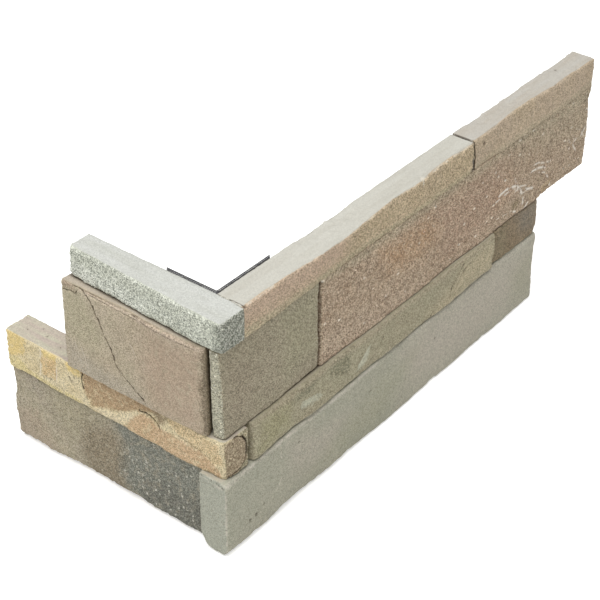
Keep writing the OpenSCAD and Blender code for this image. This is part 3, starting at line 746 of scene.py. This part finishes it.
pinkSlab = {
    "name": "pinkSlab", "node": "long_row2_pink_slab", "slot": "pink_sandstone",
    "seed": 8, "lumps": 0.6, "lumpSize": 26, "roughness": 0.3, "grainSize": 1.5, "wear": 0.45,
    "covered": {"foot": [(78, -1.8), (300, -1.8), (304, 20)]}, "flush": [131.5],
    "chips": [(305, -0.5, 75.5, 2.5, 0.8), (313, -0.5, 75.5, 2, 0.6)],
    "stains": [
        stainAt("oliveTop", "#b3a88f", 0.8, 3, [[(78, 132.5), (78, 128), (140, 126), (200, 127), (260, 126),
            (356, 122), (356, 132.5)]]),
        stainAt("oliveFar", "#b6aa92", 0.65, 12, [[(262, 132), (356, 132), (356, 96), (320, 108),
            (280, 116)]]),
        stainAt("orange", "#bf9770", 0.55, 9, [[(128, 124), (176, 122), (192, 108), (172, 98), (140, 104)],
            [(246, 104), (262, 108), (262, 96), (248, 94)]]),
        stainAt("pinkHeart", "#b59681", 0.6, 12, [[(184, 120), (250, 124), (272, 96), (230, 82), (196, 86)]]),
        stainAt("paleFoot", "#bba894", 0.5, 8, [[(80, 96), (120, 90), (160, 84), (160, 76), (80, 76)]]),
        stainAt("oliveSpots", "#8b7d5c", 0.7, 1.5, [[(268, 87), (276, 88), (277, 81), (270, 80)], [(300, 90),
            (304, 90), (303, 86)]]),
        stainAt("ochreSpot", "#bda274", 0.6, 1.5, [[(303, 82), (314, 83), (313, 77), (304, 76.5)]]),
    ],
    "scratches": [
        scratchAt(0.8, [(282.2, 84.4), (281.6, 80.6)], 1, whole=True),
        scratchAt(0.6, [(288.6, 78.4), (284, 76.4)], 1, whole=True),
        scratchAt(0.8, [(272.4, 79.2), (274.2, 78.2)], 1, whole=True),
        scratchAt(0.8, [(314.4, 79.2), (315.4, 77.8)], 1, whole=True),
        scratchAt(0.45, longScratch, 0.45, whole=True),
        scratchAt(1.0, longScratch, 1),
        scratchAt(0.7, [(250, 96.6), (256, 97.8), (263, 98.6), (269, 97)]),
        scratchAt(0.7, [(262, 103), (269, 104), (271.3, 98.6), (273, 93)]),
        scratchAt(0.6, [(268, 95), (276, 96), (284, 92.6)]),
        scratchAt(0.9, [(289.5, 99.3), (298, 98), (305.4, 95.6), (311.5, 92), (316.7, 86.9)], 1),
        scratchAt(0.7, [(291, 103), (298, 102), (305, 98.6), (312, 97)]),
        scratchAt(0.6, [(300, 94), (307, 91), (311, 86)]),
        scratchAt(0.8, [(330, 104), (338, 98), (344, 90)]),
        scratchAt(0.8, [(334, 96), (342, 99), (348, 99), (354, 104)]),
        scratchAt(0.6, [(340, 108), (347, 103), (354, 95)]),
        scratchAt(0.35, [(252, 84), (262, 82.5), (270, 81)]),
    ],
    "flecks": [
        fleckOf("#f2eadc", 5.5, 1.05, 0.45, 0.95, streak=(0.7, 1, 1)),
        fleckOf("#5f4d40", 4, 0.9, 0.4, 0.75),
        fleckOf("#c98f62", 8, 1.6, 0.45, 0.7, streak=(0.5, 1, 1), within="orange"),
        fleckOf("#ddc08c", 7, 1.3, 0.4, 0.8, streak=(0.5, 1, 1), within="orange"),
    ],
    "ground": ("#b9a48d", "#b29b83", "#bfad97"), "patchShare": 0.6, "blotchSize": 20, "end": "#94836f",
    "sawn": ("#b1a392", "#a69885"), "fresh": "#c3b199", "wornShare": 0.35, "darkSpeck": "#806953",
    "darkShare": 0.55, "lightSpeck": "#ddcdb4", "lightShare": 0.65, "scratch": "#f4ede2", "grainWidth": 0.55,
    "grainDepth": 0.5, "cluster": 0.5, "tooth": 0.65,
}
carveStone(pinkSlab)


# Long arm, third row: smooth olive strip with cracks and pale chips, and a dark block set back behind it

nearChip = [(61, 64), (77, 60.6), (79, 58), (70, 57), (62, 58.4)]
farChip = [(110, 56), (118, 66.5), (123, 66.5), (120, 57.5), (114, 55)]

oliveStrip = {
    "name": "oliveStrip", "node": "long_row3_olive_strip", "slot": "olive_sandstone",
    "seed": 9, "lumps": 0.55, "lumpSize": 26, "roughness": 0.12, "grainSize": 1.3, "wear": 0.55,
    "covered": {"foot": [(17, -1.8), (252, -1.8)], "top": [(17, 0.6), (252, 0.6)]},
    "pits": [(222, 69, 0.6), (225, 68, 0.5), (211, 56, 0.6), (195, 66, 0.5), (86, 56, 0.5), (96, 63, 0.6)],
    "cracks": [
        crackAt(0.5, 0.9, [(217, 73), (213, 69.5), (209, 66), (204, 62), (201, 55), (198.6, 50)]),
        crackAt(0.45, 0.8, [(186, 56), (182.5, 52.5), (184, 50)]),
        crackAt(0.5, 0.8, [(135.1, 64.6), (133.6, 62.6), (131.5, 60.9)]),
        crackAt(0.35, 0.4, [(213, 64), (216, 67), (219, 68.5)]),
    ],
    "flakes": [
        flakeAt(0.7, 0.8, nearChip),
        flakeAt(0.6, 0.7, farChip),
        flakeAt(1.1, 1.0, [(252, 76), (247, 74), (250, 69), (248.5, 62), (246.6, 57), (252, 50)]),
    ],
    "stains": [
        stainAt("greenChips", "#c6c5b0", 1, 0.9, [nearChip, farChip], grain=0.5),
        stainAt("speckledPatch", "#7f7e68", 0.8, 2.5, [[(86, 73), (104, 74), (102, 60), (86, 66)], [(52, 70),
            (66, 66), (74, 72), (64, 75)]], grain=1.6),
        stainAt("olive", "#a29e7a", 0.65, 6, [[(28, 72), (50, 72), (52, 54), (24, 52)]]),
        stainAt("tanFar", "#cbbc9e", 0.6, 9, [[(182, 54), (206, 60), (216, 72), (250, 72), (250, 52),
            (186, 50)]]),
        stainAt("tanTop", "#aca08a", 0.6, 2, [[(20, 76), (20, 72.5), (120, 72), (252, 72.5), (252, 76)]]),
    ],
    "ground": ("#aaa48b", "#a59c84", "#b0a890"), "blotchSize": 30, "end": "#9b937c",
    "sawn": ("#b3ab98", "#a9a18c"), "fresh": "#bfb59e", "wornShare": 0.6, "darkSpeck": "#8e8669",
    "lightSpeck": "#bdb69e", "grainDepth": 0.4, "tooth": 0.25,
}
carveStone(oliveStrip)

darkBlock = {
    "name": "darkBlock", "node": "long_row3_dark_block", "slot": "dark_sandstone",
    "seed": 10, "lumps": 0.6, "lumpSize": 18, "roughness": 0.3, "grainSize": 1.4, "wear": 0.7,
    "covered": {"foot": [(250, 1.6), (303, 1.6)], "top": [(250, 0.6), (303, 0.6)]},
    "chips": [(302, 2, 51, 5, 1.6)],
    "stains": [
        stainAt("greySide", "#8f887c", 0.7, 6, [[(276, 75), (301, 75), (301, 54), (284, 58)]]),
        stainAt("oliveSide", "#857d62", 0.6, 6, [[(250, 76), (266, 76), (268, 52), (250, 50)]]),
    ],
    "ground": ("#96856d", "#8a7a62", "#9f8e78"), "blotchSize": 16, "end": "#7d725e",
    "sawn": ("#8f8470", "#857a66"), "fresh": "#a2917a", "wornShare": 0.3, "darkSpeck": "#6b5d4a",
    "lightSpeck": "#b1a089", "grainDepth": 0.42, "tooth": 0.5,
}
carveStone(darkBlock)


# Long arm, bottom row: pale grey-green slab, smooth, with a painted highlight on the bevel along its top,
# lines of painted highlight on its arrises, and a pitted arris

paleSlab = {
    "name": "paleSlab", "node": "long_row4_pale_slab", "slot": "pale_sandstone",
    "seed": 11, "lumps": 0.5, "lumpSize": 34, "roughness": 0.08, "grainSize": 1.4,
    "covered": {"top": [(-0.6, 20), (0.4, 1.0), (303, 1.0)]},
    "breaks": [((-3.5, 4, 1.6), (-1, 0, -1.2)), ((-3.5, 11, 4), (-0.6, 1, -0.6))],
    "chips": [(20, -3, 0, 4, 0.6), (45, -3, 0, 4, 0.6), (104, -3, 0, 5, 0.6), (190, -3, 0, 6, 0.8),
              (246, -3, 0, 5, 0.8)],
    "pits": [(21.1, 14, 0.9), (16.1, 13.3, 0.8), (28, 17, 0.6), (124.4, 33, 0.7), (88, 30, 0.5),
             (160, 20, 0.5), (190, 32, 0.6), (58, 39, 0.6), (-3, 0.8, 48.6, 0.4), (-3, 2.8, 49, 0.35),
             (-3, -0.8, 48.2, 0.4), (-3, 6, 49.2, 0.35), (-3, 12.6, 49.4, 0.4), (-3, -3, 30, 0.35),
             (-3, -3, 19, 0.35), (203, 12, 0.5), (230, 30, 0.5), (135, 9, 0.5)],
    "stains": [
        # the bevel along the top: a painted highlight
        stainAt("paleBevel", "#bdb8a9", 0.75, 0.9, [[(-5, 52), (-5, 47.6), (60, 48), (160, 48.4), (302, 47.6),
            (302, 52)]]),
        stainAt("paleFar", "#c4beaf", 0.8, 40, [[(170, 60), (340, 60), (340, -12), (170, -12)]]),
        stainAt("pinkCast", "#beb5a8", 0.6, 12, [[(150, 44), (240, 46), (300, 40), (300, 20), (230, 6),
            (170, 16)], [(50, 42), (100, 30), (80, 12), (52, 24)]]),
        stainAt("olive", "#acaa93", 0.6, 12, [[(70, 10), (130, 34), (170, 34), (130, 2)], [(276, 30),
            (302, 40), (302, 6), (280, 10)]]),
    ],
    "scratches": [
        # the first four, coarse pale lines on the corner arris, the end's arrises and the top bevel, are
        # painted highlights; the rest are scratches
        scratchAt(0.75, [(-2.9, 2), (-2.7, 16), (-3, 30), (-2.8, 47)], 0.5, coarse=True),
        scratchAt(0.9, [(15.6, 47), (15.9, 28), (15.6, 8)], 0.5, side="end", whole=True, coarse=True),
        scratchAt(0.8, [(15, 48.4), (8, 48.2), (0, 47.2), (-3, 46.6)], 0.4, side="end", coarse=True),
        scratchAt(0.75, [(-2.4, 48.3), (30, 48.6), (70, 48.3), (130, 48.8)], 0.4, coarse=True),
        scratchAt(0.3, [(52, 49), (46, 48.4), (42.6, 45), (42.4, 40), (44.6, 35)]),
        scratchAt(0.3, [(44.6, 35), (44, 28), (41, 22), (37, 18)]),
        scratchAt(0.25, [(56, 46), (50, 46), (46.5, 42)]),
        scratchAt(0.25, [(62, 42), (60, 38), (56, 36)]),
    ],
    "ground": ("#afae9d", "#b4b09f", "#aaab99"), "blotchSize": 50, "end": "#abac9e",
    "sawn": ("#b9b4a5", "#b0ab9b"), "fresh": "#c5c3b4", "wornShare": 0.6, "darkSpeck": "#999481",
    "darkShare": 0.2, "lightSpeck": "#c2bfae", "lightShare": 0.2, "grainDepth": 0.22, "cluster": 0.2,
    "tooth": 0.15,
}
carveStone(paleSlab)


# Mesh angle behind the corner: cords of two twisted yarns across flat upright strands, closer at its top

cordOf = namedtuple("cordOf", "yarns yarn throw rise twist piece depth foot rows pitch")  # sizes in mm

meshAngle = {
    "name": "meshAngle", "node": "corner_mesh_angle", "slot": "coated_mesh",
    "longReach": 41, "shortReach": 33, "foot": 3, "top": 150.5,  # mm from the inner corner and from the base
    "cords": [
        cordOf(2, 0.24, 0.24, 0.24, 1.8, 0.3, 0.64, 4.1, 14, 10),
        cordOf(2, 0.2, 0.5, 0.1, 2.5, 0.3, 0.8, 143.2, 5, 1.7),
        cordOf(1, 0.27, 0, 0, 1, 1.2, 0.3, 143.4, 5, 1.7),
        cordOf(1, 0.27, 0, 0, 1, 1.2, 1.3, 143.4, 5, 1.7),
    ],
    "cordMargin": 0.3,  # mm that a cord stays short of each edge
    "strandYarn": 0.36, "strandFlat": 0.6, "strandYarns": 3, "strandPiece": 2.5, "strandDepth": 0.26,
    "strandPitch": 10, "strandSway": 0.1, "strandMargin": 0.4,
    "firstStrand": 0.6, "lastStrand": 1.3, "lastRoom": 5,  # mm from the inner corner and from an arm's edge
    "colour": "#4a4a4e", "dusty": "#93928d",
}


def addYarn(radius, length, pieceLength, rows, rowPitch):
    # capped tubes along Z, made of short pieces that are merged end to end, in rows along Y
    deselectAll()
    bpy.ops.mesh.primitive_cylinder_add(vertices=6, radius=radius * mm, depth=pieceLength * mm,
                                        end_fill_type="NOTHING", location=(0, 0, pieceLength / 2 * mm))
    bpy.ops.object.transform_apply(location=True)
    yarn = bpy.context.active_object
    applyModifier(yarn, "ARRAY", count=round(length / pieceLength), use_relative_offset=False,
                  use_constant_offset=True, constant_offset_displace=(0, 0, pieceLength * mm),
                  use_merge_vertices=True, merge_threshold=0.01 * mm)
    editAll(bpy.ops.mesh.fill_holes, sides=0)
    applyModifier(yarn, "ARRAY", count=rows, use_relative_offset=False, use_constant_offset=True,
                  constant_offset_displace=(0, rowPitch * mm, 0))
    return yarn


def foldRoundCorner(yarn, along, depth, height):
    # along is counted from the inner corner, and is below 0 on the short arm
    places = np.stack([depth + np.maximum(along, 0), depth + np.maximum(-along, 0), height], axis=1)
    yarn.data.vertices.foreach_set("co", (places * mm).ravel())
    yarn.data.update()


def meshCords(look, cord):
    # plain or twisted cords of one or two yarns, one cord in each row
    yarns = []
    reach = look["longReach"] + look["shortReach"] - 2 * look["cordMargin"]
    for turn in range(cord.yarns):
        yarn = addYarn(cord.yarn, reach, cord.piece, cord.rows, cord.pitch)
        across, up, along = placesOf(yarn).T
        phase = 2 * math.pi * (along / cord.twist + turn / cord.yarns)
        depth = cord.depth + across + cord.throw * np.sin(phase)
        height = cord.foot + up + cord.rise * np.cos(phase)
        foldRoundCorner(yarn, along - look["shortReach"] + look["cordMargin"], depth, height)
        yarns.append(yarn)
    return yarns


def meshStrand(look, middle):
    # flat yarns side by side, which sway a little between the cords
    height = look["top"] - look["foot"] - look["strandMargin"]
    radius = look["strandYarn"]
    yarn = addYarn(radius, height, look["strandPiece"], look["strandYarns"], 2 * radius)
    thick, beside, up = placesOf(yarn).T
    sway = look["strandSway"] * np.sin(2 * math.pi * up / look["strandPitch"] + middle)
    along = middle + beside - (look["strandYarns"] - 1) * radius + sway
    foldRoundCorner(yarn, along, look["strandDepth"] + look["strandFlat"] * thick, look["foot"] + up)
    return yarn


def coatedMesh(look):
    # glass-fibre yarn in a dark plastic coating, matt, with pale stone dust in 3 mm patches; its filaments
    # are drawn 0.3 mm wide so that they show
    material, add = newMaterial("coatedGlassFibreMesh")
    where = add("Mapping", Vector=add("TexCoord", output="Object"), Scale=(1000, 1000, 1000))  # in mm
    patches = add("TexNoise", Vector=where, Scale=1 / 3, Detail=3, Roughness=0.6)
    dust = add("MapRange", Value=patches, FromMin=0.45, FromMax=0.7, ToMax=0.8)
    colour = add("Mix", {"data_type": "RGBA"}, Factor=dust, A=look["colour"], B=look["dusty"])
    filaments = add("TexNoise", Vector=where, Scale=1 / 0.3, Detail=2, Roughness=0.5)
    bumps = add("Bump", Strength=0.3, Distance=0.1 * mm, Height=filaments)
    shader = add("BsdfPrincipled", BaseColor=colour, Normal=bumps, Roughness=0.6, IOR=1.5)
    add("OutputMaterial", Surface=shader)
    return material


def weaveMesh(look):
    yarns = []
    for cord in look["cords"]:
        yarns += meshCords(look, cord)
    first, pitch, last = look["firstStrand"], look["strandPitch"], look["lastStrand"]
    middles = [*np.arange(first, look["longReach"] - look["lastRoom"], pitch), look["longReach"] - last]
    middles += [*-np.arange(first + pitch, look["shortReach"] - look["lastRoom"], pitch)]
    middles.append(last - look["shortReach"])
    for middle in middles:
        yarns.append(meshStrand(look, middle))
    deselectAll()
    for yarn in yarns:
        yarn.select_set(True)
    bpy.context.view_layer.objects.active = yarns[0]
    bpy.ops.object.join()
    piece = bpy.context.active_object
    piece.name = look["name"]
    piece.data.name = look["name"]
    editAll(bpy.ops.mesh.normals_make_consistent, inside=False)
    bpy.ops.object.shade_smooth()
    finishPiece(piece, look, coatedMesh(look))


weaveMesh(meshAngle)


# Camera at the photograph's angle

camera = {
    "azimuth": -52.25, "elevation": 35.07, "roll": 0.67, "lens": 96.34,
    "place": (-479.91, -422.41, 594.70),  # mm
}


def placeCamera():
    azimuth, elevation, roll = (math.radians(camera[key]) for key in ("azimuth", "elevation", "roll"))
    back = Vector((math.sin(azimuth) * math.cos(elevation), -math.cos(azimuth) * math.cos(elevation),
                   math.sin(elevation)))
    right = Vector((0, 0, 1)).cross(back).normalized()
    up = back.cross(right)
    turnedRight = right * math.cos(roll) + up * math.sin(roll)
    turnedUp = up * math.cos(roll) - right * math.sin(roll)
    data = bpy.data.cameras.new("camera")
    data.lens = camera["lens"]
    data.clip_start = 0.01
    data.clip_end = 20
    photographer = bpy.data.objects.new("camera", data)
    bpy.context.scene.collection.objects.link(photographer)
    turn = Matrix((turnedRight, turnedUp, back)).transposed().to_4x4()
    photographer.matrix_world = Matrix.Translation(Vector(camera["place"]) * mm) @ turn
    bpy.context.scene.camera = photographer


placeCamera()


# Studio: a plain white floor and soft light from above and from the left

studio = {
    "floorSize": 12.0, "floorPlace": (0.1, 0, -0.0004), "floor": "#f4f4f2", "floorGlow": 0.5,
    "worldStrength": 0.32, "keyPower": 50, "keySize": 1.6,
    "keyPlace": (-0.5, -0.1, 2.2), "keyAim": (0.1, 0, 0.07),  # m
}


def addSoftbox():
    data = bpy.data.lights.new("key", "AREA")
    data.energy = studio["keyPower"]
    data.size = studio["keySize"]
    lamp = bpy.data.objects.new("key", data)
    bpy.context.scene.collection.objects.link(lamp)
    lamp.location = studio["keyPlace"]
    shine = Vector(studio["keyAim"]) - Vector(studio["keyPlace"])
    lamp.rotation_euler = shine.to_track_quat("-Z", "Y").to_euler()


def makeStudio():
    deselectAll()
    bpy.ops.mesh.primitive_plane_add(size=studio["floorSize"], location=studio["floorPlace"])
    floor = bpy.context.active_object
    floor.name = "floor"
    material, add = newMaterial("paleFloor")
    matt = add("BsdfDiffuse", Color=studio["floor"])
    both = add("AddShader", in0=matt, in1=add("Emission", Strength=studio["floorGlow"]))
    direct = add("LightPath", output="Is Camera Ray")
    glossy = direct.node.outputs["Is Glossy Ray"]
    seen = add("Math", {"operation": "MAXIMUM"}, in0=direct, in1=glossy)
    add("OutputMaterial", Surface=add("MixShader", in0=seen, in1=matt, in2=both))
    floor.data.materials.append(material)
    world = bpy.data.worlds.new("studioWorld")
    bpy.context.scene.world = world
    world.use_nodes = True
    background = world.node_tree.nodes["Background"]
    background.inputs["Color"].default_value = (1, 1, 1, 1)
    background.inputs["Strength"].default_value = studio["worldStrength"]
    addSoftbox()
    bpy.context.scene.view_settings.view_transform = "Standard"


makeStudio()
print("camera and studio placed")
